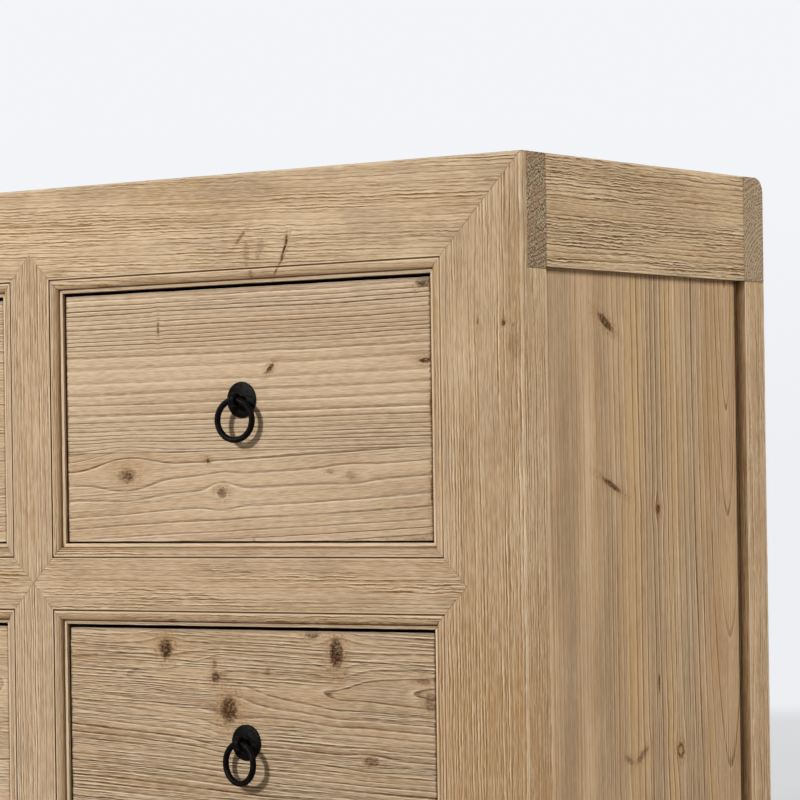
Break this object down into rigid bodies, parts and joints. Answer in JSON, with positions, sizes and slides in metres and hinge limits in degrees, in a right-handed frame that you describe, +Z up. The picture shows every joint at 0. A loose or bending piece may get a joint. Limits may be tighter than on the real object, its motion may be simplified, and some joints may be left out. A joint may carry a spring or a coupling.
{
  "type": "chest of drawers",
  "caption": "Low floor-standing pine chest of drawers with mitred moulded front frame, framed side panels and black iron ring pulls.",
  "frame": {"origin": "centre of the bounding box on the floor plane", "axes": "+X along the front to the right as seen from the front, +Y from the drawer fronts to the back, +Z up"},
  "size_m": [1.121, 0.4106, 0.739],
  "materials": {
    "pine_frame": "brushed and washed reclaimed pine, matt, open grain",
    "pine_panel": "brushed and washed pine boards, matt",
    "pine_drawer_front": "brushed and washed pine with knots, matt",
    "pine_drawer_box": "plain sawn and planed pine, unfinished",
    "pine_inner": "plain planed pine, unfinished",
    "black_iron": "satin black iron"
  },
  "bodies": {
    "carcase": {"front_top_rail": "pine_frame", "front_bottom_rail": "pine_frame", "front_left_stile": "pine_frame", "front_right_stile": "pine_frame", "centre_stile_upper": "pine_frame", "centre_stile_lower": "pine_frame", "mid_rail_left": "pine_frame", "mid_rail_right": "pine_frame", "rear_top_rail": "pine_frame", "rear_bottom_rail": "pine_frame", "rear_left_post": "pine_frame", "rear_right_post": "pine_frame", "rear_centre_post": "pine_inner", "left_top_rail": "pine_frame", "right_top_rail": "pine_frame", "left_bottom_rail": "pine_frame", "right_bottom_rail": "pine_frame", "left_side_panel": "pine_panel", "right_side_panel": "pine_panel", "back_panel": "pine_inner", "top_panel": "pine_panel", "bottom_panel": "pine_inner", "runner_left_upper": "pine_inner", "runner_left_lower": "pine_inner", "runner_right_upper": "pine_inner", "runner_right_lower": "pine_inner", "runner_centre_upper": "pine_inner", "runner_centre_lower": "pine_inner"},
    "drawer_upper_left": {"drawer_upper_left_front": "pine_drawer_front", "drawer_upper_left_left_side": "pine_drawer_box", "drawer_upper_left_right_side": "pine_drawer_box", "drawer_upper_left_back": "pine_drawer_box", "drawer_upper_left_bottom": "pine_drawer_box", "pull_upper_left_plate": "black_iron", "pull_upper_left_eye": "black_iron"},
    "ring_upper_left": {"ring_upper_left": "black_iron"},
    "drawer_lower_left": {"drawer_lower_left_front": "pine_drawer_front", "drawer_lower_left_left_side": "pine_drawer_box", "drawer_lower_left_right_side": "pine_drawer_box", "drawer_lower_left_back": "pine_drawer_box", "drawer_lower_left_bottom": "pine_drawer_box", "pull_lower_left_plate": "black_iron", "pull_lower_left_eye": "black_iron"},
    "ring_lower_left": {"ring_lower_left": "black_iron"},
    "drawer_upper_right": {"drawer_upper_right_front": "pine_drawer_front", "drawer_upper_right_left_side": "pine_drawer_box", "drawer_upper_right_right_side": "pine_drawer_box", "drawer_upper_right_back": "pine_drawer_box", "drawer_upper_right_bottom": "pine_drawer_box", "pull_upper_right_plate": "black_iron", "pull_upper_right_eye": "black_iron"},
    "ring_upper_right": {"ring_upper_right": "black_iron"},
    "drawer_lower_right": {"drawer_lower_right_front": "pine_drawer_front", "drawer_lower_right_left_side": "pine_drawer_box", "drawer_lower_right_right_side": "pine_drawer_box", "drawer_lower_right_back": "pine_drawer_box", "drawer_lower_right_bottom": "pine_drawer_box", "pull_lower_right_plate": "black_iron", "pull_lower_right_eye": "black_iron"},
    "ring_lower_right": {"ring_lower_right": "black_iron"}
  },
  "joints": [
    {"name": "drawer_upper_left_slide", "type": "slide", "parent": "carcase", "child": "drawer_upper_left", "axis": [0, -1, 0], "range_m": [0, 0.25]},
    {"name": "ring_upper_left_swing", "type": "hinge", "parent": "drawer_upper_left", "child": "ring_upper_left", "pos_m": [-0.2495, -0.19915, 0.5355], "axis": [-1, 0, 0], "range_deg": [-10, 180]},
    {"name": "drawer_lower_left_slide", "type": "slide", "parent": "carcase", "child": "drawer_lower_left", "axis": [0, -1, 0], "range_m": [0, 0.25]},
    {"name": "ring_lower_left_swing", "type": "hinge", "parent": "drawer_lower_left", "child": "ring_lower_left", "pos_m": [-0.2495, -0.19915, 0.2275], "axis": [-1, 0, 0], "range_deg": [-10, 180]},
    {"name": "drawer_upper_right_slide", "type": "slide", "parent": "carcase", "child": "drawer_upper_right", "axis": [0, -1, 0], "range_m": [0, 0.25]},
    {"name": "ring_upper_right_swing", "type": "hinge", "parent": "drawer_upper_right", "child": "ring_upper_right", "pos_m": [0.2495, -0.19915, 0.5355], "axis": [-1, 0, 0], "range_deg": [-10, 180]},
    {"name": "drawer_lower_right_slide", "type": "slide", "parent": "carcase", "child": "drawer_lower_right", "axis": [0, -1, 0], "range_m": [0, 0.25]},
    {"name": "ring_lower_right_swing", "type": "hinge", "parent": "drawer_lower_right", "child": "ring_lower_right", "pos_m": [0.2495, -0.19915, 0.2275], "axis": [-1, 0, 0], "range_deg": [-10, 180]}
  ]
}
